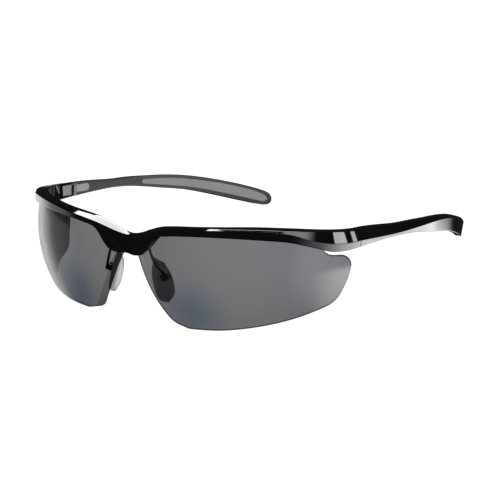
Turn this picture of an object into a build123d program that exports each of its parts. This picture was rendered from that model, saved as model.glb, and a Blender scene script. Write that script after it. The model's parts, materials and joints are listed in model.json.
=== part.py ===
from build123d import *
import math
import os

# Wrap-around safety glasses. Millimetres.
# Working frame: origin midway between the two hinge pins at their mid height, +X to the wearer's
# left, +Y rearwards along the temples, +Z up as worn. The finished pieces are tipped by REST_TILT
# about X, so that the lens rims and the temple tips stand on one level plane.

REST_TILT = -6.5

# how far a cutting shape runs past the face it cuts, and the size of one that covers a whole piece
OVERCUT = 1.0
COVER = 200.0

# lenses: two spherical shells
LENS_RADIUS = 49.0
LENS_THICK = 2.0
LENS_CENTRE_X = 19.2
LENS_CENTRE_Y = 1.7
LENS_CENTRE_Z = -6.8
LENS_AXIS_TURN = 33.0

# brow bar
BAR_RADIUS = 49.2
SEAM_HALF_GAP = 0.05
BAR_EDGE_RADIUS = 0.35

# hinges
PIN_X = 65.0
PIN_RADIUS = 0.6
PIN_CLEARANCE = 0.03
KNUCKLE_RADIUS = 1.5
KNUCKLE_CLEARANCE = 0.15
HINGE_HALF_HEIGHT = 2.0
CENTRE_KNUCKLE_HALF = 0.7
KNUCKLE_GAP = 0.06
KNUCKLE_WEB = 1.0
LEAF_THICK = 0.9
LEAF_INSIDE_PIN = 0.6
FRONT_LEAF_LENGTH = 8.0
TEMPLE_LEAF_LENGTH = 11.0
TEMPLE_LEAF_SETBACK = 0.3
TEMPLE_LEAF_HALF_HEIGHT = 1.5
SCREW_HEAD_RADIUS = 1.1
SCREW_HEAD_HEIGHT = 0.5
SLOT_WIDTH = 0.3
SLOT_DEPTH = 0.25

# temples
TEMPLE_EDGE_RADIUS = 0.4
TEMPLE_INNER = -2.7
GUIDE_AT_HINGE = 68.4
GUIDE_SPREAD = 1.1
GUIDE_SPREAD_END = 40.0
EAR_CURVE = 0.0029
GRIP_DEPTH = 1.2
GRIP_PROUD = 0.25

# nose pads
PAD_CENTRE = (10.4, -37.8, -19.3)
PAD_TOE = 18.0
PAD_SPLAY = 15.0
PAD_LEAN = 6.0
PAD_THICK = 2.4
PAD_HALF_WIDTH = 4.1
PAD_HALF_LENGTH = 8.65
PAD_FRONT_SIDE = ((-1.0, 8.65), (-3.1, 4.6), (-3.9, -1.8), (-2.9, -6.8), (0.2, -8.65))
PAD_REAR_SIDE = ((0.2, -8.65), (3.3, -6.6), (4.3, -2.0), (2.7, 4.6), (-1.0, 8.65))
PAD_EDGE_RADIUS = 0.6
CORE_MARGIN = 1.3
CORE_THICK = 1.0
PAD_PIVOT_UP = 1.0
PAD_PIVOT_OUT = 2.3
LUG_HALF_WIDTH = 0.6
LUG_RADIUS = 1.0
CHEEK_GAP = 0.06
CHEEK_THICK = 0.6
CHEEK_HALF_HEIGHT = 1.2
BOX_LENGTH = 2.9
BOX_CLEARANCE = 0.2
NOSE_SCREW_RADIUS = 0.4
NOSE_HEAD_RADIUS = 0.75
NOSE_HEAD_HEIGHT = 0.35
ARM_RADIUS = 0.5
ARM_SINK = 0.1
ARM_ROOT = (8.2, -43.2, -6.6)
ARM_BEND = (10.8, -42.2, -13.0)


def mirrored(shape):
    """The same piece for the wearer's right."""
    return mirror(shape, about=Plane.YZ)


# ------------------------------------------------------------------ lenses
def lens_centre():
    return Vector(LENS_CENTRE_X, LENS_CENTRE_Y, LENS_CENTRE_Z)


def lens_plane():
    """Plane through the sphere centre, square to the lens's own straight-ahead direction."""
    turn = math.radians(LENS_AXIS_TURN)
    return Plane(
        origin=lens_centre(),
        x_dir=(math.cos(turn), math.sin(turn), 0),
        z_dir=(math.sin(turn), -math.cos(turn), 0),
    )


def lens_outline():
    """Outline of the lens in lens_plane: nasal edge, long lower rim, outer corner, free lobe, tongue."""
    nasal = Spline((-37.7, -3.2), (-33.6, -12.9), (-28.3, -21.4), (-23.4, -26.6), (-18.0, -28.4))
    rim = Spline((-18.0, -28.4), (-7.7, -27.5), (6.4, -25.0), (20.4, -21.5), (30.6, -18.1))
    corner = ThreePointArc((30.6, -18.1), (33.9, -15.9), (36.0, -12.4))
    side = ThreePointArc((36.0, -12.4), (37.8, -7.8), (38.7, -3.2))
    lobe = ThreePointArc((38.7, -3.2), (37.4, -0.8), (35.0, 0.7))
    lobe_top = Line((35.0, 0.7), (29.0, 1.9))
    step = Line((29.0, 1.9), (28.2, 5.6))
    tongue = Spline((28.2, 5.6), (21.6, 8.6), (2.1, 10.0), (-15.1, 9.0), (-27.7, 6.9), (-34.0, 3.6))
    tongue_end = Line((-34.0, 3.6), (-37.7, -3.2))
    edges = [nasal, rim, corner, side, lobe, lobe_top, step, tongue, tongue_end]
    return make_face(Wire(edges))


def lens_shell(outer, inner):
    """Spherical shell about the lens centre, its seam turned to the back."""
    place = Location(lens_centre(), (0, 0, 90 + LENS_AXIS_TURN))
    return place * (Sphere(outer) - Sphere(inner))


def lens():
    prism = extrude(lens_plane() * lens_outline(), amount=LENS_RADIUS + OVERCUT)
    return lens_shell(LENS_RADIUS, LENS_RADIUS - LENS_THICK) & prism


# ------------------------------------------------------------------ brow bar
# one row per station: position, then five corners (outward from the bar's guide line, height):
# top rear, top front, brow (foremost), lower front, lower rear
BRIDGE_STATIONS = {
    0.0: ((-5.7, -2.9), (-4.4, -3.2), (-0.3, -8.0), (-1.6, -9.9), (-5.8, -9.0)),
    4.0: ((-5.4, -2.1), (-4.2, -2.4), (-0.2, -6.6), (-1.3, -10.3), (-5.6, -9.2)),
    8.0: ((-4.9, -0.5), (-3.8, -0.8), (-0.1, -4.2), (-0.9, -9.2), (-5.2, -7.6)),
    13.5: ((-4.3, 1.4), (-2.9, 1.0), (0.3, -1.3), (0.0, -2.6), (-4.6, -2.2)),
}
BROW_STATIONS = {
    0.0: ((-3.9, 2.4), (-1.9, 2.0), (0.6, 0.6), (0.4, -1.0), (-4.3, -0.9)),
    10.0: ((-3.8, 3.2), (-0.9, 3.0), (0.9, 2.2), (0.6, 0.1), (-4.2, 0.3)),
    23.0: ((-3.8, 4.1), (-0.1, 3.9), (1.0, 3.4), (0.7, 0.8), (-4.2, 1.0)),
    39.0: ((-3.8, 4.8), (0.2, 4.5), (1.1, 3.8), (0.9, 0.8), (-4.2, 1.0)),
    52.0: ((-3.8, 4.6), (0.3, 4.2), (1.3, 2.8), (1.0, 0.0), (-4.2, 0.2)),
    62.0: ((-3.7, 4.1), (0.2, 3.7), (1.5, 0.5), (1.1, -1.9), (-4.1, -1.2)),
    72.0: ((-3.4, 3.5), (0.2, 3.1), (1.6, -1.0), (1.0, -4.0), (-3.7, -3.1)),
    80.0: ((-3.1, 3.1), (0.2, 2.7), (1.7, -1.3), (1.0, -4.2), (-3.3, -3.3)),
    88.0: ((-2.8, 2.9), (0.3, 2.3), (1.7, -1.2), (1.2, -3.8), (-3.0, -3.1)),
}


def section(plane, corners, radius):
    """Closed section with rounded corners, laid on the plane."""
    face = make_face(Polyline(*corners, close=True))
    return plane * fillet(face.vertices(), radius)


def across(x, y, heading):
    """Upright plane across a path: local x points away from the head, local y up."""
    turn = math.radians(heading)
    return Plane(
        origin=(x, y, 0),
        x_dir=(math.sin(turn), -math.cos(turn), 0),
        z_dir=(-math.cos(turn), -math.sin(turn), 0),
    )


def bar_sections():
    """Sections from the left hinge seam over the bridge to the right hinge seam."""
    front_y = LENS_CENTRE_Y - BAR_RADIUS
    half = []
    for x, corners in BRIDGE_STATIONS.items():
        half.append((x, front_y, 0.0, corners))
    for heading, corners in BROW_STATIONS.items():
        turn = math.radians(heading)
        x = LENS_CENTRE_X + BAR_RADIUS * math.sin(turn)
        y = LENS_CENTRE_Y - BAR_RADIUS * math.cos(turn)
        half.append((x, y, heading, corners))
    right = [(-x, y, -heading, corners) for x, y, heading, corners in reversed(half[1:])]
    rows = right + half
    return [section(across(x, y, h), corners, BAR_EDGE_RADIUS) for x, y, h, corners in rows]


def bar_blank():
    blank = loft(bar_sections())
    behind_seam = Location((0, COVER / 2 - SEAM_HALF_GAP, 0)) * Box(COVER, COVER, COVER)
    return blank - behind_seam


# ------------------------------------------------------------------ temples
# one row per station: distance behind the hinge, then top inner, top outer, crease, lower outer and
# lower inner corners (outward from the guide line, height); the inner face stays at TEMPLE_INNER
TEMPLE_STATIONS = {
    0.0: (2.9, (0.3, 2.3), (1.7, -1.2), (1.2, -3.8), -3.1),
    3.0: (2.9, (0.3, 2.3), (1.7, -1.3), (1.2, -3.7), -3.0),
    9.0: (2.7, (0.3, 2.2), (1.6, -1.5), (1.0, -3.5), -2.7),
    17.0: (2.2, (0.2, 1.8), (1.5, -1.7), (0.9, -3.2), -2.4),
    27.0: (1.5, (0.1, 1.2), (1.4, -1.8), (0.7, -3.1), -2.2),
    42.0: (1.1, (0.0, 0.8), (1.4, -1.4), (0.6, -3.7), -3.0),
    51.0: (0.7, (0.0, 0.3), (1.4, -1.2), (0.6, -4.7), -4.2),
    62.0: (0.1, (0.0, -0.3), (1.3, -1.4), (0.5, -6.2), -5.9),
    76.0: (-1.4, (0.1, -1.7), (1.3, -2.6), (0.4, -8.1), -7.9),
    87.0: (-3.2, (0.2, -3.5), (1.2, -4.3), (0.4, -10.4), -10.2),
    98.0: (-5.5, (0.3, -5.7), (1.2, -6.4), (0.4, -13.1), -12.9),
    108.0: (-8.0, (0.4, -8.1), (1.1, -8.7), (0.4, -15.6), -15.5),
    115.0: (-10.1, (0.4, -10.2), (1.0, -10.8), (0.3, -17.2), -17.2),
    118.6: (-11.5, (0.4, -11.6), (0.9, -12.2), (0.2, -17.6), -17.6),
    120.5: (-12.9, (0.2, -13.0), (0.6, -13.9), (0.0, -17.1), -17.1),
    121.2: (-14.3, (-0.1, -14.3), (0.2, -14.9), (-0.3, -16.2), -16.2),
}
GRIP_TOP = (
    (54.0, -1.0),
    (62.0, -1.4),
    (76.0, -2.9),
    (87.0, -4.7),
    (98.0, -6.9),
    (108.0, -9.4),
    (114.6, -11.6),
)
GRIP_NOSE = (47.0, -1.7)
GRIP_TAIL = (118.7, -14.7)
GRIP_BOTTOM = (
    (114.6, -15.4),
    (108.0, -13.7),
    (98.0, -11.2),
    (87.0, -8.6),
    (76.0, -6.5),
    (62.0, -4.6),
    (54.0, -3.5),
)


def guide(y):
    """Sideways place of a temple's guide line: a slight spread, then the inward curve to the ear."""
    along = min(y / GUIDE_SPREAD_END, 1.0)
    bend = max(y - GUIDE_SPREAD_END, 0.0)
    return GUIDE_AT_HINGE + GUIDE_SPREAD * along**2 * (3 - 2 * along) - EAR_CURVE * bend**2


def temple_blank():
    sections = []
    for y, (top_in, top_out, crease, low_out, low_in) in TEMPLE_STATIONS.items():
        corners = ((TEMPLE_INNER, top_in), top_out, crease, low_out, (TEMPLE_INNER, low_in))
        sections.append(section(across(guide(y), y, 90), corners, TEMPLE_EDGE_RADIUS))
    blank = loft(sections)
    ahead_of_seam = Location((0, SEAM_HALF_GAP - COVER / 2, 0)) * Box(COVER, COVER, COVER)
    return blank - ahead_of_seam


def grip_outline():
    """Side outline of the soft insert: a slim tongue, round in front and rounded off at the tip."""
    nose = Spline(GRIP_BOTTOM[-1], GRIP_NOSE, GRIP_TOP[0], tangents=((-1, 0.15), (1, -0.05)))
    top = Spline(*GRIP_TOP)
    tail = Spline(GRIP_TOP[-1], GRIP_TAIL, GRIP_BOTTOM[0], tangents=((1, -0.4), (-1, 0.3)))
    bottom = Spline(*GRIP_BOTTOM)
    return make_face(Wire([nose, top, tail, bottom]))


def temple_grip():
    """Soft insert: a liner that follows the temple's inner face, cut to its side outline."""
    inner = TEMPLE_INNER - GRIP_PROUD
    outer = TEMPLE_INNER + GRIP_DEPTH
    reach = COVER / 4
    corners = ((inner, reach), (outer, reach), (outer, -reach), (inner, -reach))
    layers = [across(guide(y), y, 90) * make_face(Polyline(*corners, close=True)) for y in TEMPLE_STATIONS]
    side = Plane(origin=(0, 0, 0), x_dir=(0, 1, 0), z_dir=(1, 0, 0))
    return loft(layers) & extrude(side * grip_outline(), amount=COVER / 2)


# ------------------------------------------------------------------ hinges
def pin_cylinder(radius, low, high):
    """Upright cylinder about the hinge pin between two heights."""
    middle = Location((PIN_X, 0, (low + high) / 2))
    return middle * Cylinder(radius, high - low)


def block(x, y, z):
    """Box between two bounds along each axis."""
    middle = Location(((x[0] + x[1]) / 2, (y[0] + y[1]) / 2, (z[0] + z[1]) / 2))
    return middle * Box(x[1] - x[0], y[1] - y[0], z[1] - z[0])


def pin_bore():
    reach = HINGE_HALF_HEIGHT + OVERCUT
    return pin_cylinder(PIN_RADIUS + PIN_CLEARANCE, -reach, reach)


def front_leaf_plate():
    x = (PIN_X - LEAF_INSIDE_PIN, PIN_X - LEAF_INSIDE_PIN + LEAF_THICK)
    y = (-FRONT_LEAF_LENGTH, -KNUCKLE_RADIUS - KNUCKLE_CLEARANCE)
    return block(x, y, (-HINGE_HALF_HEIGHT, HINGE_HALF_HEIGHT))


def front_hinge():
    """Metal leaf in the end-piece, with the two outer knuckles."""
    x = (PIN_X - LEAF_INSIDE_PIN, PIN_X - LEAF_INSIDE_PIN + LEAF_THICK)
    leaf = front_leaf_plate()
    inside = CENTRE_KNUCKLE_HALF + KNUCKLE_GAP
    for low, high in ((inside, HINGE_HALF_HEIGHT), (-HINGE_HALF_HEIGHT, -inside)):
        leaf += block(x, (-KNUCKLE_RADIUS - KNUCKLE_WEB, 0), (low, high))
        leaf += pin_cylinder(KNUCKLE_RADIUS, low, high)
    return leaf - pin_bore()


def temple_leaf_plate():
    """Plate with a round rear end, let into the temple's inner face."""
    x = GUIDE_AT_HINGE + TEMPLE_INNER
    front = KNUCKLE_RADIUS + TEMPLE_LEAF_SETBACK
    back = TEMPLE_LEAF_LENGTH - TEMPLE_LEAF_HALF_HEIGHT
    half = TEMPLE_LEAF_HALF_HEIGHT
    plate = block((x, x + LEAF_THICK), (front, back), (-half, half))
    end = Location((x + LEAF_THICK / 2, back, 0), (0, 90, 0)) * Cylinder(half, LEAF_THICK)
    return plate + end


def temple_leaf_finger():
    """Neck between the plate in the temple and the centre knuckle."""
    x = GUIDE_AT_HINGE + TEMPLE_INNER
    half = CENTRE_KNUCKLE_HALF
    return block((x, x + LEAF_THICK), (0, KNUCKLE_RADIUS + KNUCKLE_WEB), (-half, half))


def temple_hinge():
    """Metal leaf in the temple, with the centre knuckle."""
    half = CENTRE_KNUCKLE_HALF
    leaf = temple_leaf_plate() + temple_leaf_finger() + pin_cylinder(KNUCKLE_RADIUS, -half, half)
    return leaf - pin_bore()


def hinge_screw():
    """Pin screw put in from below, its slotted head under the lower knuckle."""
    low = -HINGE_HALF_HEIGHT - SCREW_HEAD_HEIGHT
    shank = pin_cylinder(PIN_RADIUS, -HINGE_HALF_HEIGHT, HINGE_HALF_HEIGHT)
    head = pin_cylinder(SCREW_HEAD_RADIUS, low, -HINGE_HALF_HEIGHT)
    reach = SCREW_HEAD_RADIUS + OVERCUT
    x = (PIN_X - reach, PIN_X + reach)
    slot = block(x, (-SLOT_WIDTH / 2, SLOT_WIDTH / 2), (low - OVERCUT, low + SLOT_DEPTH))
    return shank + head - slot


def knuckle_room():
    """Room cut round the knuckles and the screw head, open downwards for the screw."""
    return pin_cylinder(KNUCKLE_RADIUS + KNUCKLE_CLEARANCE, -COVER / 4, HINGE_HALF_HEIGHT + KNUCKLE_GAP)


# ------------------------------------------------------------------ nose pads
def pad_plane():
    """Plane of a nose pad: local x rearwards, local y up along the pad, local z away from the nose."""
    toe = math.radians(PAD_TOE)
    splay = math.radians(PAD_SPLAY)
    rearward = Vector(math.sin(toe), math.cos(toe), 0)
    upward = Vector(-math.sin(splay), -math.sin(math.radians(PAD_LEAN)), math.cos(splay))
    outward = rearward.cross(upward)
    return Plane(origin=PAD_CENTRE, x_dir=upward.cross(outward), z_dir=outward)


def pad_outline(margin=0.0):
    """Half-teardrop, narrow at the top and full at the bottom, drawn in by a margin all round."""
    across_scale = 1 - margin / PAD_HALF_WIDTH
    along_scale = 1 - margin / PAD_HALF_LENGTH

    def side(points, tangents):
        return Spline([(x * across_scale, y * along_scale) for x, y in points], tangents=tangents)

    front = side(PAD_FRONT_SIDE, ((-1, -0.4), (1, 0)))
    rear = side(PAD_REAR_SIDE, ((1, 0), (-1, 0.4)))
    return make_face(Wire([front, rear]))


def pad_core():
    """Hard plate in the back of the pad, with the lug that the screw goes through."""
    plate = extrude(pad_outline(CORE_MARGIN), amount=CORE_THICK)
    lug_plane = Plane(origin=(0, PAD_PIVOT_UP, PAD_PIVOT_OUT), x_dir=(0, 1, 0), z_dir=(1, 0, 0))
    eye = lug_plane * Cylinder(LUG_RADIUS, 2 * LUG_HALF_WIDTH)
    neck = block(
        (-LUG_HALF_WIDTH, LUG_HALF_WIDTH),
        (PAD_PIVOT_UP - LUG_RADIUS, PAD_PIVOT_UP + LUG_RADIUS),
        (CORE_THICK / 2, PAD_PIVOT_OUT),
    )
    bore = lug_plane * Cylinder(NOSE_SCREW_RADIUS + PIN_CLEARANCE, 2 * LUG_HALF_WIDTH + OVERCUT)
    return pad_plane() * (plate + eye + neck - bore)


def nose_pad():
    """Soft pad, crowned towards the nose, with the core let into its back."""
    body = extrude(pad_outline(), amount=-PAD_THICK + CORE_THICK)
    body += extrude(pad_outline(), amount=CORE_THICK)
    nose_side = body.faces().sort_by(Axis.Z)[0]
    body = fillet(nose_side.edges(), PAD_EDGE_RADIUS)
    recess = extrude(pad_outline(CORE_MARGIN), amount=CORE_THICK)
    return pad_plane() * (body - recess)


def nose_screw():
    plane = Plane(origin=(0, PAD_PIVOT_UP, PAD_PIVOT_OUT), x_dir=(0, 1, 0), z_dir=(1, 0, 0))
    half = LUG_HALF_WIDTH + CHEEK_GAP + CHEEK_THICK
    shank = plane * Cylinder(NOSE_SCREW_RADIUS, 2 * half)
    seat = Location((0, 0, half + NOSE_HEAD_HEIGHT / 2))
    head = plane * seat * Cylinder(NOSE_HEAD_RADIUS, NOSE_HEAD_HEIGHT)
    return pad_plane() * (shank + head)


def nose_arm():
    """Wire arm from the bridge, ending in the small open box that holds the pad's lug."""
    inside = LUG_HALF_WIDTH + CHEEK_GAP
    outside = inside + CHEEK_THICK
    z = (PAD_PIVOT_OUT - LUG_RADIUS, PAD_PIVOT_OUT - LUG_RADIUS + BOX_LENGTH)
    y = (PAD_PIVOT_UP - CHEEK_HALF_HEIGHT, PAD_PIVOT_UP + CHEEK_HALF_HEIGHT)
    box = block((-outside, outside), y, z)
    room_y = (y[0] - OVERCUT, y[1] + OVERCUT)
    room_z = (z[0] - OVERCUT, PAD_PIVOT_OUT + LUG_RADIUS + BOX_CLEARANCE)
    box -= block((-inside, inside), room_y, room_z)
    plane = Plane(origin=(0, PAD_PIVOT_UP, PAD_PIVOT_OUT), x_dir=(0, 1, 0), z_dir=(1, 0, 0))
    box -= plane * Cylinder(NOSE_SCREW_RADIUS, 2 * outside + OVERCUT)
    foot = pad_plane().from_local_coords(Vector(0, PAD_PIVOT_UP, z[1] - ARM_SINK))
    path = Spline(ARM_ROOT, ARM_BEND, foot)
    start = Plane(origin=ARM_ROOT, z_dir=path % 0)
    wire = sweep(start * Circle(ARM_RADIUS), path=path)
    return pad_plane() * box + wire


# ------------------------------------------------------------------ the assembly
def left_pieces():
    """Pieces of the wearer's left side, in the working frame."""
    grip = temple_grip()
    blade = temple_blank() - grip - temple_leaf_plate() - temple_leaf_finger() - knuckle_room()
    return {
        "lens": lens(),
        "temple": blade,
        "temple_grip": grip,
        "front_hinge": front_hinge(),
        "temple_hinge": temple_hinge(),
        "hinge_screw": hinge_screw(),
        "nose_arm": nose_arm(),
        "nose_pad_core": pad_core(),
        "nose_pad": nose_pad(),
        "nose_screw": nose_screw(),
    }


def frame_front(pieces):
    """Brow bar with its lens grooves, hinge seats and nose arm sockets."""
    front = bar_blank()
    cuts = [pieces["lens"], front_leaf_plate(), knuckle_room(), pieces["nose_arm"]]
    for cut in cuts:
        front = front - cut - mirrored(cut)
    return front


def assembly():
    """Every piece by node name, standing on the lens rims and the temple tips."""
    left = left_pieces()
    nodes = {"frame_front": frame_front(left)}
    for name, shape in left.items():
        nodes[name + "_left"] = shape
        nodes[name + "_right"] = mirrored(shape)
    stand = Location((0, 0, 0), (REST_TILT, 0, 0))
    return {name: stand * shape for name, shape in nodes.items()}


def main():
    os.makedirs("parts", exist_ok=True)
    for name, shape in assembly().items():
        export_step(shape, "parts/%s.step" % name)


if __name__ == "__main__":
    main()
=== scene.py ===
import bmesh
import bpy
import json
import math
import numpy as np
from mathutils import Matrix, Vector


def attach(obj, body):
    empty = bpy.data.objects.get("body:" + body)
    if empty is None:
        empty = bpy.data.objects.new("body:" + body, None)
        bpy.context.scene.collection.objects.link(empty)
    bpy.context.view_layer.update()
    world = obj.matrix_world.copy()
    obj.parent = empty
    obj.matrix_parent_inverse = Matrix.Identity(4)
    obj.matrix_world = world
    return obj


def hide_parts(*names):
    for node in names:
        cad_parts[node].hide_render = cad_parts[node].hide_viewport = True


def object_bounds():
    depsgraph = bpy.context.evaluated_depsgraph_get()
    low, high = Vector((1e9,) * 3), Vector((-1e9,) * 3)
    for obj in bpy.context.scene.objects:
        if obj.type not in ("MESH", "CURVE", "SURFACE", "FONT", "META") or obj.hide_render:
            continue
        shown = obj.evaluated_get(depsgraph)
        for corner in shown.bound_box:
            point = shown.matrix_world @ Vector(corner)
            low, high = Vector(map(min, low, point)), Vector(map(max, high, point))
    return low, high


# Looks for the wrap-around safety glasses. The tables below are in millimetres in the wearer's
# frame (temples level, origin between the hinge pins); STAND tips them into the row frame.

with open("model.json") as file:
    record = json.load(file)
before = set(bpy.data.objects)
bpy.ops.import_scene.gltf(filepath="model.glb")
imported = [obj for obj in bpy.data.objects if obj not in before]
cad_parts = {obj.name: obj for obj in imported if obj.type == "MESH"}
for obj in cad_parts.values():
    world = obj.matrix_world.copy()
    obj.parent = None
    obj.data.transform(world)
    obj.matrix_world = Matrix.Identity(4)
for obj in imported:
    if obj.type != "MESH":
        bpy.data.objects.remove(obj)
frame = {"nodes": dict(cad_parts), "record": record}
CAD_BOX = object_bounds()
MM = 0.001


def joint(name):
    return next(j for j in frame["record"]["behaviour"]["joints"] if j["name"] == name)


FOLD_AXIS = Vector(joint("temple_left_fold")["axis"])
STAND = Matrix.Rotation(-math.atan2(FOLD_AXIS.y, FOLD_AXIS.z), 4, "X")
PIN_X = joint("temple_left_fold")["pos_m"][0] / MM
FLOOR_Z = CAD_BOX[0][2]

# lens: a spherical shell with a small bevel (edge) round both faces; the bevel is softened part of
# the way in, and each face closes on a small middle patch
LENS_RADIUS = 49.0
LENS_THICK = 2.0
LENS_CENTRE = np.array((19.2, 1.7, -6.8))
LENS_AXIS_TURN = math.radians(33.0)
LENS_HEART = np.array((0.0, -8.0))
LENS_EDGE = 0.3
LENS_EDGE_SOFT = 0.3
LENS_HEART_SHARE = 0.08
LENS_RINGS = 14
LENS_INDEX = 1.586

# brow bar
BAR_RADIUS = 49.2
BAR_RINGS = 320

# seam between the bar and a temple: half the gap, and the width and depth of the lip round each end
SEAM_GAP = 0.06
SEAM_LIP = 0.12
SEAM_STEP = 0.1

# temples, with the guide line that they follow and the soft inserts
TEMPLE_RINGS = 260
TEMPLE_TIP_START = 117.0
TEMPLE_TIP_RINGS = 15
TEMPLE_TIP_SHRINK = 0.5
TEMPLE_TIP_CAP = 0.08
TEMPLE_INNER = -2.7
TEMPLE_SHOULDER = 1.1
GUIDE_AT_HINGE = PIN_X + 3.4
GUIDE_SPREAD = 1.1
GUIDE_SPREAD_END = 40.0
EAR_CURVE = 0.0029
GRIP_PROUD = 0.3
GRIP_ROOT = 0.8
GRIP_RINGS = 90
GRIP_NOSE_END = 53.0
GRIP_TAIL_START = 114.0
GRIP_END_RINGS = 13
GRIP_CORNER_RADII = (0.3, 0.1, 0.1, 0.3)

# pieces in the arc of each rounded corner; a corner gives one point more, and one on the next side
ARC_STEPS = 5
CORNER_POINTS = ARC_STEPS + 2
# largest share of a side that one corner takes, the side length in corner reaches from which the
# extra point sits mid-side, and where it sits on a shorter side
CORNER_SHARE = 0.45
LONG_SIDE = 2.5
SHORT_SIDE_POINT = 0.4

# what a ring keeps at least of its width when it is drawn in
LEAST_LEFT = 0.05

# edges sharper than this stay sharp, and how much large faces lead the shading of the others
SHARP_ANGLE = math.radians(40.0)
NORMAL_WEIGHT = 60


# ------------------------------------------------------------------ curves and sections
def hermite(knots, values, at):
    """Smooth curve through the rows of values at the knots, read at the places in at."""
    knots = np.asarray(knots, float)
    values = np.asarray(values, float).reshape(len(knots), -1)
    steps = np.diff(knots)[:, None]
    slopes = np.diff(values, axis=0) / steps
    tangents = np.empty_like(values)
    tangents[0] = slopes[0]
    tangents[-1] = slopes[-1]
    before = steps[:-1]
    after = steps[1:]
    tangents[1:-1] = (slopes[:-1] * after + slopes[1:] * before) / (before + after)
    at = np.asarray(at, float)
    i = np.clip(np.searchsorted(knots, at, side="right") - 1, 0, len(knots) - 2)
    h = knots[i + 1] - knots[i]
    t = ((at - knots[i]) / h)[:, None]
    h = h[:, None]
    return (
        values[i] * (2 * t**3 - 3 * t**2 + 1)
        + values[i + 1] * (3 * t**2 - 2 * t**3)
        + tangents[i] * h * (t**3 - 2 * t**2 + t)
        + tangents[i + 1] * h * (t**3 - t**2)
    )


def rounded(corners, radii):
    """Closed section with each corner rounded by a smooth arc, and one point more on each side."""
    corners = np.asarray(corners, float)
    count = len(corners)
    ring = []
    for k in range(count):
        here = corners[k]
        back = corners[k - 1] - here
        on = corners[(k + 1) % count] - here
        back_length = np.linalg.norm(back)
        on_length = np.linalg.norm(on)
        back = back / back_length
        on = on / on_length
        half = 0.5 * math.acos(max(-1.0, min(1.0, float(back @ on))))
        longest = CORNER_SHARE * min(back_length, on_length)
        reach = min(radii[k] / math.tan(half), longest)
        start = here + back * reach
        end = here + on * reach
        for s in range(ARC_STEPS + 1):
            t = s / ARC_STEPS
            ring.append(start * (1 - t) ** 2 + here * 2 * t * (1 - t) + end * t**2)
        share = 0.5 if on_length > LONG_SIDE * reach else SHORT_SIDE_POINT
        ring.append(end * (1 - share) + corners[(k + 1) % count] * share)
    return np.array(ring)


def shrunk(ring, by):
    """A ring of 3-D points drawn in towards its middle by a distance."""
    middle = ring.mean(axis=0)
    away = ring - middle
    length = np.linalg.norm(away, axis=1, keepdims=True)
    return middle + away * np.maximum(length - by, LEAST_LEFT * length) / length


def in_row_frame(points):
    """Millimetres in the wearer's frame to metres in the row frame."""
    turn = np.array(STAND.to_3x3())
    return (np.asarray(points) @ turn.T) * MM


def make_object(name, points, faces, materials):
    mesh = bpy.data.meshes.new(name)
    mesh.from_pydata([tuple(p) for p in in_row_frame(points)], [], faces)
    mesh.validate()
    clean = bmesh.new()
    clean.from_mesh(mesh)
    bmesh.ops.recalc_face_normals(clean, faces=clean.faces)
    clean.to_mesh(mesh)
    clean.free()
    for material in materials:
        mesh.materials.append(material)
    obj = bpy.data.objects.new(name, mesh)
    bpy.context.scene.collection.objects.link(obj)
    mesh.shade_smooth()
    mesh.set_sharp_from_angle(angle=SHARP_ANGLE)
    weighted = obj.modifiers.new("even_normals", "WEIGHTED_NORMAL")
    weighted.keep_sharp = True
    weighted.weight = NORMAL_WEIGHT
    return obj


def skin(rings):
    """Points and faces of a closed skin over rings of equal length."""
    size = len(rings[0])
    points = np.concatenate(rings)
    faces = []
    for r in range(len(rings) - 1):
        for k in range(size):
            after = (k + 1) % size
            a, b = r * size, (r + 1) * size
            faces.append((a + k, a + after, b + after, b + k))
    faces.append(tuple(range(size))[::-1])
    last = (len(rings) - 1) * size
    faces.append(tuple(range(last, last + size)))
    return points, faces


def on_side(points, sign):
    """Points of a left-hand piece, carried to the left (1) or the right (-1)."""
    return np.asarray(points) * np.array((sign, 1.0, 1.0))


# ------------------------------------------------------------------ brow bar
# distance along the bar from the bridge middle, then corners (outward, height):
# top rear, top front, brow, lower front, lower rear
BRIDGE = {
    0.0: ((-5.7, -2.9), (-4.4, -3.2), (-0.3, -8.0), (-1.6, -9.9), (-5.8, -9.0)),
    4.0: ((-5.4, -2.1), (-4.2, -2.4), (-0.2, -6.6), (-1.3, -10.3), (-5.6, -9.2)),
    8.0: ((-4.9, -0.5), (-3.8, -0.8), (-0.1, -4.2), (-0.9, -9.2), (-5.2, -7.6)),
    13.5: ((-4.3, 1.4), (-2.9, 1.0), (0.3, -1.3), (0.0, -2.6), (-4.6, -2.2)),
}
BROW = {
    0.0: ((-3.9, 2.4), (-1.9, 2.0), (0.6, 0.6), (0.4, -1.0), (-4.3, -0.9)),
    10.0: ((-3.8, 3.2), (-0.9, 3.0), (0.9, 2.2), (0.6, 0.1), (-4.2, 0.3)),
    23.0: ((-3.8, 4.1), (0.2, 3.9), (0.9, 3.5), (0.7, 0.8), (-4.2, 1.0)),
    39.0: ((-3.8, 4.8), (0.6, 4.4), (1.1, 4.0), (0.9, 0.8), (-4.2, 1.0)),
    52.0: ((-3.8, 4.6), (0.6, 4.1), (1.3, 3.0), (1.0, 0.0), (-4.2, 0.2)),
    62.0: ((-3.7, 4.1), (0.2, 3.7), (1.5, 0.5), (1.1, -1.9), (-4.1, -1.2)),
    72.0: ((-3.4, 3.5), (0.2, 3.1), (1.6, -1.0), (1.0, -4.0), (-3.7, -3.1)),
    80.0: ((-3.1, 3.1), (0.2, 2.7), (1.7, -1.3), (1.0, -4.2), (-3.3, -3.3)),
    88.0: ((-2.8, 2.9), (0.3, 2.3), (1.7, -1.2), (1.2, -3.8), (-3.0, -3.1)),
}
BAR_CORNER_RADII = (0.45, 0.3, 0.15, 0.25, 0.35, 0.5)

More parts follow.
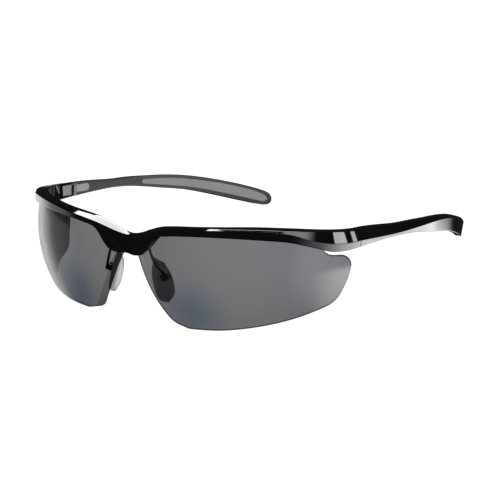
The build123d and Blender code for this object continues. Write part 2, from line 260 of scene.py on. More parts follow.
# crease across the upper front face of the bridge: distance along the bar, share of the way from
# the top front corner down to the brow, and how far it stands out of the straight face
ROOF_CREASE = {
    0.0: (0.12, 0.35),
    4.0: (0.25, 0.50),
    8.0: (0.45, 0.55),
    13.5: (0.68, 0.45),
    19.2: (0.85, 0.25),
    30.0: (0.92, 0.05),
    120.0: (0.92, 0.05),
}


def bar_place(along):
    """Guide point and outward direction of the bar at a distance along it."""
    side = -1.0 if along < 0 else 1.0
    straight = LENS_CENTRE[0]
    front_y = LENS_CENTRE[1] - BAR_RADIUS
    if abs(along) <= straight:
        return np.array((along, front_y, 0.0)), np.array((0.0, -1.0, 0.0))
    turn = (abs(along) - straight) / BAR_RADIUS
    outward = np.array((side * math.sin(turn), -math.cos(turn), 0.0))
    centre = np.array((side * LENS_CENTRE[0], LENS_CENTRE[1], 0.0))
    return centre + outward * BAR_RADIUS, outward


def bar_rows():
    """Places along the whole bar, and the corners of its section at each."""
    rows = dict(BRIDGE)
    for heading, corners in BROW.items():
        rows[LENS_CENTRE[0] + BAR_RADIUS * math.radians(heading)] = corners
    full = {-along: corners for along, corners in rows.items()}
    full.update(rows)
    knots = sorted(full)
    return knots, np.array([full[k] for k in knots]).reshape(len(knots), -1)


def with_roof_crease(corners, along):
    """Bar section with the crease point put in between its top front and brow corners."""
    places = sorted(ROOF_CREASE)
    share, lift = hermite(places, [ROOF_CREASE[k] for k in places], [abs(along)])[0]
    top, brow = corners[1], corners[2]
    run = brow - top
    out = np.array((-run[1], run[0])) / np.linalg.norm(run)
    if out[0] < 0:
        out = -out
    crease = top + run * share + out * lift
    return np.array([corners[0], top, crease, brow, corners[3], corners[4]])


def bar_rings():
    knots, rows = bar_rows()
    end = math.acos((LENS_CENTRE[1] + SEAM_GAP) / BAR_RADIUS) * BAR_RADIUS + LENS_CENTRE[0]
    rings = []
    places = np.linspace(-end, end, BAR_RINGS)
    for along, flat in zip(places, hermite(knots, rows, places)):
        point, outward = bar_place(along)
        corners = with_roof_crease(flat.reshape(-1, 2), along)
        ring = rounded(corners, BAR_CORNER_RADII)
        rings.append(point + ring[:, :1] * outward + ring[:, 1:] * np.array((0, 0, 1.0)))
    rings[0][:, 1] = -SEAM_GAP
    rings[-1][:, 1] = -SEAM_GAP
    lips = [shrunk(rings[0], SEAM_LIP), shrunk(rings[-1], SEAM_LIP)]
    rings[0][:, 1] -= SEAM_STEP
    rings[-1][:, 1] -= SEAM_STEP
    return [lips[0]] + rings + [lips[1]]


# ------------------------------------------------------------------ lens
def arc_through(a, b, c, count):
    """Points of the circle arc from a over b to c."""
    (ax, ay), (bx, by), (cx, cy) = a, b, c
    d = 2 * (ax * (by - cy) + bx * (cy - ay) + cx * (ay - by))
    ux = ((ax**2 + ay**2) * (by - cy) + (bx**2 + by**2) * (cy - ay) + (cx**2 + cy**2) * (ay - by)) / d
    uy = ((ax**2 + ay**2) * (cx - bx) + (bx**2 + by**2) * (ax - cx) + (cx**2 + cy**2) * (bx - ax)) / d
    angles = [math.atan2(y - uy, x - ux) for x, y in (a, b, c)]
    sweep = (angles[2] - angles[0]) % (2 * math.pi)
    if (angles[1] - angles[0]) % (2 * math.pi) > sweep:
        sweep -= 2 * math.pi
    radius = math.hypot(ax - ux, ay - uy)
    turns = angles[0] + sweep * np.linspace(0, 1, count)
    return np.stack([ux + radius * np.cos(turns), uy + radius * np.sin(turns)], 1)


def through(points, count):
    """Points of a smooth open curve through the given ones."""
    points = np.array(points, float)
    knots = np.concatenate([[0], np.cumsum(np.linalg.norm(np.diff(points, axis=0), axis=1))])
    return hermite(knots, points, np.linspace(0, knots[-1], count))


def lens_outline():
    """Lens edge in the lens's own plane; the last number of each stretch is its count of points."""
    pieces = [
        through(((-37.7, -3.2), (-33.6, -12.9), (-28.3, -21.4), (-23.4, -26.6), (-18.0, -28.4)), 46),
        through(((-18.0, -28.4), (-7.7, -27.5), (6.4, -25.0), (20.4, -21.5), (30.6, -18.1)), 60),
        arc_through((30.6, -18.1), (33.9, -15.9), (36.0, -12.4), 14),
        arc_through((36.0, -12.4), (37.8, -7.8), (38.7, -3.2), 14),
        arc_through((38.7, -3.2), (37.4, -0.8), (35.0, 0.7), 14),
        through(((35.0, 0.7), (29.6, 1.8), (28.6, 2.6), (28.2, 5.6)), 20),
        through(((28.2, 5.6), (21.6, 8.6), (2.1, 10.0), (-15.1, 9.0), (-27.7, 6.9), (-34.0, 3.6)), 60),
        through(((-34.0, 3.6), (-37.7, -3.2)), 12),
    ]
    return np.concatenate([piece[:-1] for piece in pieces])


def on_lens(flat, radius):
    """Points of the lens's own plane carried forward onto a sphere about the lens centre."""
    turn = LENS_AXIS_TURN
    sideways = np.array((math.cos(turn), math.sin(turn), 0.0))
    forward = np.array((math.sin(turn), -math.cos(turn), 0.0))
    depth = np.sqrt(radius**2 - (flat**2).sum(axis=1))
    in_plane = flat[:, :1] * sideways + flat[:, 1:] * np.array((0, 0, 1.0))
    return LENS_CENTRE + in_plane + depth[:, None] * forward


def drawn_in(outline, by):
    """Outline offset inwards, square to its own edge."""
    ahead = np.roll(outline, -1, axis=0) - np.roll(outline, 1, axis=0)
    normal = np.stack([-ahead[:, 1], ahead[:, 0]], 1)
    normal /= np.linalg.norm(normal, axis=1, keepdims=True)
    if ((LENS_HEART - outline) * normal).sum() < 0:
        normal = -normal
    return outline + normal * by


def lens_parts():
    """Points and faces of a lens, and for each face whether it lies on the cut edge."""
    outline = lens_outline()
    inset = drawn_in(outline, LENS_EDGE)
    back = LENS_RADIUS - LENS_THICK
    rings = []
    for s in np.linspace(LENS_HEART_SHARE, 1.0, LENS_RINGS):
        rings.append(on_lens(LENS_HEART + (inset - LENS_HEART) * s, LENS_RADIUS))
    soft_edge = LENS_EDGE * LENS_EDGE_SOFT
    soft = drawn_in(outline, soft_edge)
    rings.append(on_lens(soft, LENS_RADIUS - soft_edge))
    front_edge = len(rings)
    rings.append(on_lens(outline, LENS_RADIUS - LENS_EDGE))
    rings.append(on_lens(outline, back + LENS_EDGE))
    back_edge = len(rings)
    rings.append(on_lens(soft, back + soft_edge))
    for s in np.linspace(1.0, LENS_HEART_SHARE, LENS_RINGS):
        rings.append(on_lens(LENS_HEART + (inset - LENS_HEART) * s, back))
    points, faces = skin(rings)
    size = len(outline)
    first, last = (front_edge - 2) * size, back_edge * size
    band = [first <= min(face) and max(face) < last + size for face in faces]
    return points, faces, band


# ------------------------------------------------------------------ temples
# distance behind the hinge: top inner height, top outer, crease, lower outer, lower inner height
TEMPLE = {
    0.0: (2.9, (0.3, 2.3), (1.7, -1.2), (1.2, -3.8), -3.1),
    3.0: (2.9, (0.3, 2.3), (1.7, -1.3), (1.2, -3.7), -3.0),
    9.0: (2.7, (0.3, 2.2), (1.6, -1.5), (1.0, -3.5), -2.7),
    17.0: (2.2, (0.2, 1.8), (1.5, -1.7), (0.9, -3.2), -2.4),
    27.0: (1.5, (0.1, 1.2), (1.4, -1.8), (0.7, -3.1), -2.2),
    42.0: (1.1, (0.0, 0.8), (1.4, -1.4), (0.6, -3.7), -3.0),
    51.0: (0.7, (0.0, 0.3), (1.4, -1.2), (0.6, -4.7), -4.2),
    62.0: (0.1, (0.0, -0.3), (1.3, -1.4), (0.5, -6.2), -5.9),
    76.0: (-1.4, (0.1, -1.7), (1.3, -2.6), (0.4, -8.1), -7.9),
    87.0: (-3.2, (0.2, -3.5), (1.2, -4.3), (0.4, -10.4), -10.2),
    98.0: (-5.5, (0.3, -5.7), (1.2, -6.4), (0.4, -13.1), -12.9),
    108.0: (-8.0, (0.4, -8.1), (1.1, -8.7), (0.4, -15.6), -15.5),
    115.0: (-10.1, (0.4, -10.2), (1.0, -10.8), (0.3, -17.2), -17.2),
    118.6: (-11.5, (0.4, -11.6), (0.9, -12.2), (0.2, -17.6), -17.6),
    120.5: (-12.9, (0.2, -13.0), (0.6, -13.9), (0.0, -17.1), -17.1),
    121.1: (-14.0, (-0.1, -14.1), (0.2, -14.9), (-0.3, -16.4), -16.4),
}
TEMPLE_CORNER_RADII = (0.5, 0.35, 0.25, 0.4, 0.5, 0.05)
# distance behind the hinge: top and lower height of the soft insert
GRIP = {
    47.0: (-1.5, -1.9),
    47.8: (-0.9, -2.5),
    50.0: (-0.85, -2.95),
    54.0: (-1.0, -3.5),
    62.0: (-1.4, -4.6),
    76.0: (-2.9, -6.5),
    87.0: (-4.7, -8.6),
    98.0: (-6.9, -11.2),
    108.0: (-9.4, -13.7),
    114.6: (-11.6, -15.4),
    117.4: (-13.0, -15.9),
    118.7: (-14.3, -15.3),
}


def guide(y):
    """Distance of the temple from the middle plane, at distances behind the hinge."""
    along = np.minimum(y / GUIDE_SPREAD_END, 1.0)
    bend = np.maximum(y - GUIDE_SPREAD_END, 0.0)
    return GUIDE_AT_HINGE + GUIDE_SPREAD * along**2 * (3 - 2 * along) - EAR_CURVE * bend**2


def temple_rings():
    knots = sorted(TEMPLE)
    rows = []
    for y in knots:
        top_in, top_out, crease, low_out, low_in = TEMPLE[y]
        shoulder = top_in - TEMPLE_SHOULDER
        inner_face = (TEMPLE_INNER, low_in, TEMPLE_INNER, shoulder)
        rows.append((TEMPLE_INNER, top_in, *top_out, *crease, *low_out, *inner_face))
    straight = np.linspace(SEAM_GAP, TEMPLE_TIP_START, TEMPLE_RINGS)
    turns = np.linspace(0, math.pi / 2, TEMPLE_TIP_RINGS + 1)[1:]
    tip = TEMPLE_TIP_START + (knots[-1] - TEMPLE_TIP_START) * np.sin(turns)
    places = np.concatenate([straight, tip])
    rings = []
    for y, flat in zip(places, hermite(knots, rows, places)):
        ring = rounded(flat.reshape(-1, 2), TEMPLE_CORNER_RADII)
        x = guide(y) + ring[:, 0]
        rings.append(np.stack([x, np.full(len(x), y), ring[:, 1]], 1))
    lip = shrunk(rings[0], SEAM_LIP)
    rings[0][:, 1] += SEAM_STEP
    end = shrunk(rings[-1], TEMPLE_TIP_SHRINK)
    end[:, 1] += TEMPLE_TIP_CAP
    return [lip] + rings + [end]


def grip_rings():
    knots = sorted(GRIP)
    rows = [GRIP[y] for y in knots]
    turns = np.linspace(0, math.pi / 2, GRIP_END_RINGS + 1)
    nose = knots[0] + (GRIP_NOSE_END - knots[0]) * (1 - np.cos(turns[:-1]))
    straight = np.linspace(GRIP_NOSE_END, GRIP_TAIL_START, GRIP_RINGS)
    tail = GRIP_TAIL_START + (knots[-1] - GRIP_TAIL_START) * np.sin(turns[1:])
    places = np.concatenate([nose, straight, tail])
    face = TEMPLE_INNER - GRIP_PROUD
    root = TEMPLE_INNER + GRIP_ROOT
    rings = []
    for y, (top, low) in zip(places, hermite(knots, rows, places)):
        corners = ((face, top), (root, top), (root, low), (face, low))
        ring = rounded(corners, GRIP_CORNER_RADII)
        x = guide(y) + ring[:, 0]
        rings.append(np.stack([x, np.full(len(x), y), ring[:, 1]], 1))
    return rings


# ------------------------------------------------------------------ nose pads
PAD_CENTRE = np.array((10.4, -37.8, -19.3))
PAD_TOE = math.radians(18.0)
PAD_SPLAY = math.radians(15.0)
PAD_LEAN = math.radians(6.0)
PAD_BACK = 1.0
PAD_FACE = -1.4
PAD_FRONT_SIDE = ((-1.0, 8.65), (-3.1, 4.6), (-3.9, -1.8), (-2.9, -6.8), (0.2, -8.65))
PAD_REAR_SIDE = ((0.2, -8.65), (3.3, -6.6), (4.3, -2.0), (2.7, 4.6), (-1.0, 8.65))
PAD_SIDE_POINTS = 40
PAD_HEART = np.array((0.2, -1.0))
# cushion from its soft face to its hollow back: share of the outline, and height
PAD_PROFILE = (
    (0.1, PAD_FACE - 0.35),
    (0.35, PAD_FACE - 0.3),
    (0.6, PAD_FACE - 0.15),
    (0.78, PAD_FACE + 0.1),
    (0.9, PAD_FACE + 0.45),
    (0.97, PAD_FACE + 0.95),
    (1.0, PAD_FACE + 1.5),
    (0.99, PAD_BACK - 0.35),
    (0.95, PAD_BACK - 0.08),
    (0.9, PAD_BACK),
    (0.72, PAD_BACK),
    (0.7, PAD_BACK - 0.12),
    (0.1, PAD_BACK - 0.12),
)


def pad_axes():
    """The pad's own axes in the wearer's frame: front to back, upward, and out from the nose."""
    rearward = Vector((math.sin(PAD_TOE), math.cos(PAD_TOE), 0))
    upward = Vector((-math.sin(PAD_SPLAY), -math.sin(PAD_LEAN), math.cos(PAD_SPLAY))).normalized()
    outward = rearward.cross(upward).normalized()
    return np.array(upward.cross(outward)), np.array(upward), np.array(outward)


def pad_parts():
    sides = [through(side, PAD_SIDE_POINTS)[:-1] for side in (PAD_FRONT_SIDE, PAD_REAR_SIDE)]
    outline = np.concatenate(sides)
    x, y, z = pad_axes()
    rings = []
    for share, height in PAD_PROFILE:
        flat = PAD_HEART + (outline - PAD_HEART) * share
        rings.append(PAD_CENTRE + flat[:, :1] * x + flat[:, 1:] * y + height * z)
    return skin(rings)


# ------------------------------------------------------------------ materials
WEAR_SCALE = 90.0
WEAR_SPREAD = 0.12
WEAR_RANGE = (0.3, 0.7)
GRAIN_DEPTH = 0.0001
COAT_ROUGH = 0.03
WHITE = (1, 1, 1, 1)

# finishes: colour, roughness and how far wear spreads it, scale and strength of the grain, and
# where it differs from plain plastic: clear coat, metal, shine, or a painted glow, emitted white light
# that stands in for light soaking through
FINISHES = {
    "gloss_black": dict(
        colour=(0.003, 0.003, 0.004), rough=0.05, spread=0.02, grain=900.0, bump=0.01, coat=0.3
    ),
    "satin_inside": dict(
        colour=(0.035, 0.035, 0.037), rough=0.42, spread=0.06, grain=2500.0, bump=0.15, shine=0.25
    ),
    "grip_rubber": dict(
        colour=(0.24, 0.245, 0.25), rough=0.62, spread=0.08, grain=3500.0, bump=0.3, shine=0.3
    ),
    # painted glow: the soft pad gives off a faint white light of its own, standing in for light soaking
    # through the rubber
    "pad_rubber": dict(
        colour=(0.18, 0.18, 0.185), rough=0.3, spread=0.05, grain=2500.0, bump=0.1, shine=0.4, floor_light_and_painted_glow=0.12
    ),
    "dark_steel": dict(
        colour=(0.24, 0.24, 0.245), rough=0.42, spread=0.06, grain=3000.0, bump=0.15, metal=1.0
    ),
    "screw_steel": dict(
        colour=(0.30, 0.30, 0.31), rough=0.35, spread=0.06, grain=3000.0, bump=0.15, metal=1.0
    ),
    "black_steel": dict(
        colour=(0.20, 0.20, 0.205), rough=0.38, spread=0.06, grain=3000.0, bump=0.15, metal=1.0
    ),
    # painted glow: the pad core gives off a faint white light of its own, standing in for light soaking
    # through it
    "core_plastic": dict(
        colour=(0.16, 0.16, 0.165), rough=0.35, spread=0.05, grain=2500.0, bump=0.1, floor_light_and_painted_glow=0.12
    ),
}

# lens: light let through by a face and by the cut edge, share mirrored face on, roughness of that
# mirror and scale of its unevenness, then scale, range and colours of the tint
LENS_PASS = 0.432
LENS_EDGE_PASS = 0.30
LENS_MIRROR = 0.045
LENS_MIRROR_ROUGH = (0.01, 0.025)
LENS_MIRROR_SCALE = 60.0
LENS_TINT_SCALE = 22.0
LENS_TINT_RANGE = (0.4, 0.6)
LENS_TINTS = ((0.99, 0.99, 0.995), (0.98, 0.99, 1.02))

# bloom: colour, place in the lens's own plane in millimetres, and reach in metres
BLOOM_TINT = (0.80, 0.86, 0.96)
BLOOM_PLACE = (-17.0, -21.0)
BLOOM_REACH = 0.016


def new_material(name):
    material = bpy.data.materials.new(name)
    material.use_nodes = True
    nodes = material.node_tree.nodes
    nodes.clear()
    output = nodes.new("ShaderNodeOutputMaterial")
    return material, material.node_tree, output


def add(tree, kind, **values):
    """New node with its inputs, or else its settings, set by name."""
    node = tree.nodes.new(kind)
    for key, value in values.items():
        name = key.replace("_", " ")
        if name in node.inputs:
            node.inputs[name].default_value = value
        else:
            setattr(node, key, value)
    return node


def noise(tree, scale, detail=3.0):
    place = add(tree, "ShaderNodeTexCoord")
    node = add(tree, "ShaderNodeTexNoise", Scale=scale, Detail=detail)
    tree.links.new(place.outputs["Object"], node.inputs["Vector"])
    return node


def remap(tree, source, low, high, from_low=0.0, from_high=1.0, kind="LINEAR"):
    node = add(tree, "ShaderNodeMapRange")
    node.interpolation_type = kind
    node.inputs["From Min"].default_value = from_low
    node.inputs["From Max"].default_value = from_high
    node.inputs["To Min"].default_value = low
    node.inputs["To Max"].default_value = high
    tree.links.new(source, node.inputs["Value"])
    return node.outputs["Result"]


def surface(name, colour, rough, spread, grain, bump, coat=0.0, metal=0.0, shine=0.5, floor_light_and_painted_glow=0.0):
    """Material with a worn, slightly uneven finish, and a painted glow where one is given."""
    material, tree, output = new_material(name)
    shader = add(tree, "ShaderNodeBsdfPrincipled", Metallic=metal)
    shader.inputs["Coat Weight"].default_value = coat
    # painted glow: white emission that lights the surface though it is no lamp
    shader.inputs["Emission Color"].default_value = WHITE
    shader.inputs["Emission Strength"].default_value = floor_light_and_painted_glow
    shader.inputs["Specular IOR Level"].default_value = shine
    shader.inputs["Coat Roughness"].default_value = COAT_ROUGH
    wear = noise(tree, WEAR_SCALE, 4.0)
    grains = noise(tree, grain, 2.0)
    mix = add(tree, "ShaderNodeMix", data_type="RGBA")
    mix.inputs["A"].default_value = (*[c * (1 - WEAR_SPREAD) for c in colour], 1)
    mix.inputs["B"].default_value = (*[c * (1 + WEAR_SPREAD) for c in colour], 1)
    tree.links.new(wear.outputs["Fac"], mix.inputs["Factor"])
    tree.links.new(mix.outputs["Result"], shader.inputs["Base Color"])
    low, high = rough - spread, rough + spread
    tree.links.new(remap(tree, wear.outputs["Fac"], low, high, *WEAR_RANGE), shader.inputs["Roughness"])
    relief = add(tree, "ShaderNodeBump", Strength=bump, Distance=GRAIN_DEPTH)
    tree.links.new(grains.outputs["Fac"], relief.inputs["Height"])
    tree.links.new(relief.outputs["Normal"], shader.inputs["Normal"])
    tree.links.new(shader.outputs["BSDF"], output.inputs["Surface"])
    return material


def facing_share(tree):
    """Cosine between the ray and the face, the same from either side of it."""
    place = add(tree, "ShaderNodeNewGeometry")
    facing = add(tree, "ShaderNodeVectorMath", operation="DOT_PRODUCT")
    tree.links.new(place.outputs["Incoming"], facing.inputs[0])
    tree.links.new(place.outputs["Normal"], facing.inputs[1])
    size = add(tree, "ShaderNodeMath", operation="ABSOLUTE")
    tree.links.new(facing.outputs["Value"], size.inputs[0])
    return size.outputs["Value"]


def path_share(tree):
    """How much longer the bent ray runs inside the lens than straight through it."""
    squared = add(tree, "ShaderNodeMath", operation="POWER")
    tree.links.new(facing_share(tree), squared.inputs[0])
    squared.inputs[1].default_value = 2.0
    inside = remap(tree, squared.outputs["Value"], 1.0 - 1.0 / LENS_INDEX**2, 1.0)
    longer = add(tree, "ShaderNodeMath", operation="POWER")
    tree.links.new(inside, longer.inputs[0])
    longer.inputs[1].default_value = -0.5
    return longer.outputs["Value"]


def mirror_share(tree):
    """Share of light mirrored by a plastic face, growing with the fifth power of the slant."""
    slant = remap(tree, facing_share(tree), 1.0, 0.0)
    steep = add(tree, "ShaderNodeMath", operation="POWER")
    tree.links.new(slant, steep.inputs[0])
    steep.inputs[1].default_value = 5.0
    return remap(tree, steep.outputs["Value"], LENS_MIRROR, 1.0)


def stress_spot(tree):
    """Share of the faint coloured bloom low on the nose side of either lens."""
    place = add(tree, "ShaderNodeTexCoord")
    size = add(tree, "ShaderNodeVectorMath", operation="ABSOLUTE")
    tree.links.new(place.outputs["Object"], size.inputs[0])
    heart = in_row_frame(on_lens(np.array([BLOOM_PLACE]), LENS_RADIUS))[0]
    away = add(tree, "ShaderNodeVectorMath", operation="SUBTRACT")
    tree.links.new(size.outputs["Vector"], away.inputs[0])
    away.inputs[1].default_value = (heart[0], -heart[1], -heart[2])
    length = add(tree, "ShaderNodeVectorMath", operation="LENGTH")
    tree.links.new(away.outputs["Vector"], length.inputs[0])
    return remap(tree, length.outputs["Value"], 1.0, 0.0, 0.0, BLOOM_REACH, "SMOOTHSTEP")


def lens_material(name, pass_share):
    """Smoke lens: a face lets part of the light through and mirrors a little of the room."""
    material, tree, output = new_material(name)
    sheen = noise(tree, LENS_TINT_SCALE, 1.0)
    tint = add(tree, "ShaderNodeMix", data_type="RGBA")
    tint.inputs["A"].default_value = (*[pass_share * c for c in LENS_TINTS[0]], 1)
    tint.inputs["B"].default_value = (*[pass_share * c for c in LENS_TINTS[1]], 1)
    tree.links.new(remap(tree, sheen.outputs["Fac"], 0.0, 1.0, *LENS_TINT_RANGE), tint.inputs["Factor"])
    bloom = add(tree, "ShaderNodeMix", data_type="RGBA")
    bloom.inputs["B"].default_value = (*[pass_share * c for c in BLOOM_TINT], 1)
    tree.links.new(tint.outputs["Result"], bloom.inputs["A"])
    tree.links.new(stress_spot(tree), bloom.inputs["Factor"])
    through_light = add(tree, "ShaderNodeBsdfTransparent")
    deeper = add(tree, "ShaderNodeGamma")
    tree.links.new(bloom.outputs["Result"], deeper.inputs["Color"])
    tree.links.new(path_share(tree), deeper.inputs["Gamma"])
    tree.links.new(deeper.outputs["Color"], through_light.inputs["Color"])
    mirror = add(tree, "ShaderNodeBsdfGlossy")
    uneven = noise(tree, LENS_MIRROR_SCALE).outputs["Fac"]
    tree.links.new(remap(tree, uneven, *LENS_MIRROR_ROUGH), mirror.inputs["Roughness"])
    mix = add(tree, "ShaderNodeMixShader")
    tree.links.new(mirror_share(tree), mix.inputs["Fac"])
    tree.links.new(through_light.outputs["BSDF"], mix.inputs[1])
    tree.links.new(mirror.outputs["BSDF"], mix.inputs[2])
    tree.links.new(mix.outputs["Shader"], output.inputs["Surface"])
    return material


# ------------------------------------------------------------------ pieces
HARDWARE = {
    "front_hinge": "black_steel",
    "temple_hinge": "dark_steel",
    "hinge_screw": "screw_steel",
    "nose_arm": "dark_steel",
    "nose_pad_core": "core_plastic",
    "nose_screw": "screw_steel",
}

# sideways part of a face's normal past which it counts as the inner face of its temple
INNER_FACING = -0.9


def place_piece(obj, body, slot_name, *nodes):
    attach(obj, body)
    if nodes:
        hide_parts(*nodes)


def build_bar(paint):
    points, faces = skin(bar_rings())
    bar = make_object("brow_bar", points, faces, [paint["gloss_black"]])
    place_piece(bar, "front", "frame_gloss", "frame_front")


def build_lens(paint, side, sign):
    points, faces, band = lens_parts()
    materials = [paint["smoke_lens"], paint["lens_edge"]]
    lens = make_object("lens_shell_" + side, on_side(points, sign), faces, materials)
    for polygon, is_edge in zip(lens.data.polygons, band):
        polygon.material_index = 1 if is_edge else 0
    place_piece(lens, "front", "lens_smoke", "lens_" + side)


def build_temple(paint, side, sign):
    """Gloss blade, satin on its inner face below the shoulder."""
    points, faces = skin(temple_rings())
    materials = [paint["gloss_black"], paint["satin_inside"]]
    temple = make_object("temple_blade_" + side, on_side(points, sign), faces, materials)
    ring_size = len(TEMPLE_CORNER_RADII) * CORNER_POINTS
    shoulder_start = ring_size - CORNER_POINTS
    for polygon in temple.data.polygons:
        below_shoulder = polygon.index % ring_size <= shoulder_start
        if polygon.normal.x * sign < INNER_FACING and below_shoulder:
            polygon.material_index = 1
    place_piece(temple, "temple_%s_body" % side, "temple_gloss", "temple_" + side)


def build_insert(paint, side, sign):
    points, faces = skin(grip_rings())
    insert = make_object("temple_insert_" + side, on_side(points, sign), faces, [paint["grip_rubber"]])
    place_piece(insert, "temple_%s_body" % side, "grip_rubber", "temple_grip_" + side)


def build_pad(paint, side, sign):
    points, faces = pad_parts()
    cushion = make_object("pad_cushion_" + side, on_side(points, sign), faces, [paint["pad_rubber"]])
    place_piece(cushion, "nose_pad_%s_body" % side, "pad_rubber", "nose_pad_" + side)


def paint_hardware(paint, side):
    """The small parts keep the frame's own meshes and only get their materials."""
    for node, finish in HARDWARE.items():
        mesh = frame["nodes"]["%s_%s" % (node, side)].data
        mesh.materials.clear()
        mesh.materials.append(paint[finish])


def build():
    paint = {name: surface(name, **finish) for name, finish in FINISHES.items()}
    paint["smoke_lens"] = lens_material("smoke_lens", LENS_PASS)
    paint["lens_edge"] = lens_material("lens_edge", LENS_EDGE_PASS)
    build_bar(paint)
    for side, sign in (("left", 1), ("right", -1)):
        build_lens(paint, side, sign)
        build_temple(paint, side, sign)
        build_insert(paint, side, sign)
        build_pad(paint, side, sign)
        paint_hardware(paint, side)


# ------------------------------------------------------------------ room, light and camera
# panels of the studio as the glossy pieces mirror them: each is lit where all its bands agree; a band
# is a direction with the cosines at which it fades to nothing and is full. Then the panel's strength.
# The first one is lit all round, as the dim room itself.
MIRRORED_PANELS = (
    ((((0, 0, 1), -1.5, -1.2),), 0.015),
    ((((-0.20, 0.45, 0.87), 0.940, 0.952),), 12.0),
    ((((0, 0, -1), 0.33, 0.42), ((0.50, 0.86, 0), 0.45, 0.95), ((1, 0, 0), -0.6, 0.2)), 4.0),
    ((((0.816, 0.54, 0.196), 0.9940, 0.9955),), 6.5),
    ((((0.65, 0.745, 0.15), 0.9988, 0.9993),), 5.0),
    ((((0.83, 0.06, 0.56), 0.955, 0.985),), 3.5),
    ((((-0.91, 0.38, -0.18), 0.84, 0.985), ((0, 0, -1), 0.06, 0.14)), 1.1),
    ((((0.90, 0.35, -0.20), 0.72, 0.97), ((0, 0, -1), -0.18, 0.10)), 1.3),
    ((((-1.0, -0.10, -0.12), 0.78, 0.96), ((0, 0, -1), 0.00, 0.08)), 0.8),
)
ROOM_SOFT = 0.9
ROOM_SEEN = 1.0

# camera in the wearer's frame: turn, height and roll, then distance, shift and drop in millimetres
CAMERA_AZIMUTH = math.radians(33.756)
CAMERA_ELEVATION = math.radians(11.33)
CAMERA_ROLL = math.radians(2.7)
CAMERA_DISTANCE = 572.59
CAMERA_SHIFT = (18.217, -11.421)
CAMERA_DROP = 3.6
CAMERA_LENS = 108.0
CAMERA_SENSOR = 36.0
CAMERA_CLIP = (0.01, 20.0)

# floor: half its side and its drop below the feet in metres, its glow and its own grey
FLOOR_REACH = 4.0
FLOOR_DROP = 0.0002
FLOOR_GLOW = 0.92
FLOOR_GREY = (0.25, 0.25, 0.25, 1)


def make_camera():
    a, e, roll = CAMERA_AZIMUTH, CAMERA_ELEVATION, CAMERA_ROLL
    back = Vector((math.sin(a) * math.cos(e), -math.cos(a) * math.cos(e), math.sin(e)))
    level = Vector((math.cos(a), math.sin(a), 0))
    upright = back.cross(level)
    right = level * math.cos(roll) + upright * math.sin(roll)
    up = upright * math.cos(roll) - level * math.sin(roll)
    place = back * CAMERA_DISTANCE + right * CAMERA_SHIFT[0] + up * CAMERA_SHIFT[1]
    place.z -= CAMERA_DROP
    data = bpy.data.cameras.new("camera")
    data.lens = CAMERA_LENS
    data.sensor_width = CAMERA_SENSOR
    data.clip_start, data.clip_end = CAMERA_CLIP
    camera = bpy.data.objects.new("camera", data)
    bpy.context.scene.collection.objects.link(camera)
    pose = Matrix((right, up, back)).transposed().to_4x4()
    pose.translation = place * MM
    camera.matrix_world = STAND @ pose
    bpy.context.scene.camera = camera


def make_floor():
    """Pale floor that lights from below and is not seen in the glossy pieces."""
    mesh = bpy.data.meshes.new("floor")
    corners = [(x * FLOOR_REACH, y * FLOOR_REACH) for x, y in ((-1, -1), (1, -1), (1, 1), (-1, 1))]
    mesh.from_pydata([(x, y, FLOOR_Z - FLOOR_DROP) for x, y in corners], [], [(0, 1, 2, 3)])
    floor = bpy.data.objects.new("floor", mesh)
    bpy.context.scene.collection.objects.link(floor)
    material, tree, output = new_material("pale_floor")
    floor_light_and_painted_glow = add(tree, "ShaderNodeEmission", Color=WHITE, Strength=FLOOR_GLOW)
    dull = add(tree, "ShaderNodeBsdfDiffuse", Color=FLOOR_GREY)
    both = add(tree, "ShaderNodeAddShader")
    tree.links.new(floor_light_and_painted_glow.outputs["Emission"], both.inputs[0])
    tree.links.new(dull.outputs["BSDF"], both.inputs[1])
    tree.links.new(both.outputs["Shader"], output.inputs["Surface"])
    mesh.materials.append(material)
    floor.visible_glossy = False


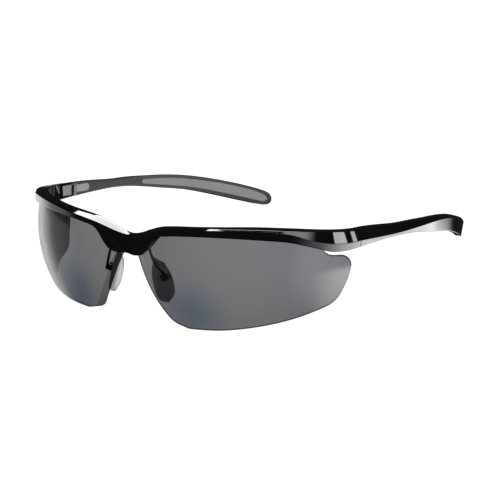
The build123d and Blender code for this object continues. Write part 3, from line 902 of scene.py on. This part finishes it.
def direction_band(tree, along, low, high):
    """1 where the view direction lines up with a direction, fading to 0 between two cosines."""
    place = add(tree, "ShaderNodeTexCoord")
    dot = add(tree, "ShaderNodeVectorMath", operation="DOT_PRODUCT")
    tree.links.new(place.outputs["Generated"], dot.inputs[0])
    dot.inputs[1].default_value = Vector(along).normalized()
    return remap(tree, dot.outputs["Value"], 0.0, 1.0, low, high, "SMOOTHSTEP")


def math_node(tree, operation, first, second):
    node = add(tree, "ShaderNodeMath", operation=operation)
    tree.links.new(first, node.inputs[0])
    tree.links.new(second, node.inputs[1])
    return node.outputs["Value"]


def panel_light(tree):
    """Light of all the panels in the direction looked at."""
    total = None
    for bands, strength in MIRRORED_PANELS:
        value = None
        for along, low, high in bands:
            band = direction_band(tree, along, low, high)
            value = band if value is None else math_node(tree, "MULTIPLY", value, band)
        level = add(tree, "ShaderNodeMath", operation="MULTIPLY")
        tree.links.new(value, level.inputs[0])
        level.inputs[1].default_value = strength
        lit = level.outputs["Value"]
        total = lit if total is None else math_node(tree, "ADD", total, lit)
    return total


def make_world():
    """The panels for glossy rays, a soft white room for the others, and white behind the object."""
    world = bpy.data.worlds.new("studio")
    bpy.context.scene.world = world
    world.use_nodes = True
    tree = world.node_tree
    tree.nodes.clear()
    output = tree.nodes.new("ShaderNodeOutputWorld")
    total = panel_light(tree)
    mirrored_room = add(tree, "ShaderNodeBackground", Color=WHITE)
    tree.links.new(total, mirrored_room.inputs["Strength"])
    soft_room = add(tree, "ShaderNodeBackground", Color=WHITE, Strength=ROOM_SOFT)
    seen_room = add(tree, "ShaderNodeBackground", Color=WHITE, Strength=ROOM_SEEN)
    ray = add(tree, "ShaderNodeLightPath")
    first = add(tree, "ShaderNodeMixShader")
    tree.links.new(ray.outputs["Is Glossy Ray"], first.inputs["Fac"])
    tree.links.new(soft_room.outputs["Background"], first.inputs[1])
    tree.links.new(mirrored_room.outputs["Background"], first.inputs[2])
    second = add(tree, "ShaderNodeMixShader")
    tree.links.new(ray.outputs["Is Camera Ray"], second.inputs["Fac"])
    tree.links.new(first.outputs["Shader"], second.inputs[1])
    tree.links.new(seen_room.outputs["Background"], second.inputs[2])
    tree.links.new(second.outputs["Shader"], output.inputs["Surface"])


build()
make_camera()
make_floor()
make_world()
bpy.context.scene.view_settings.view_transform = "Standard"
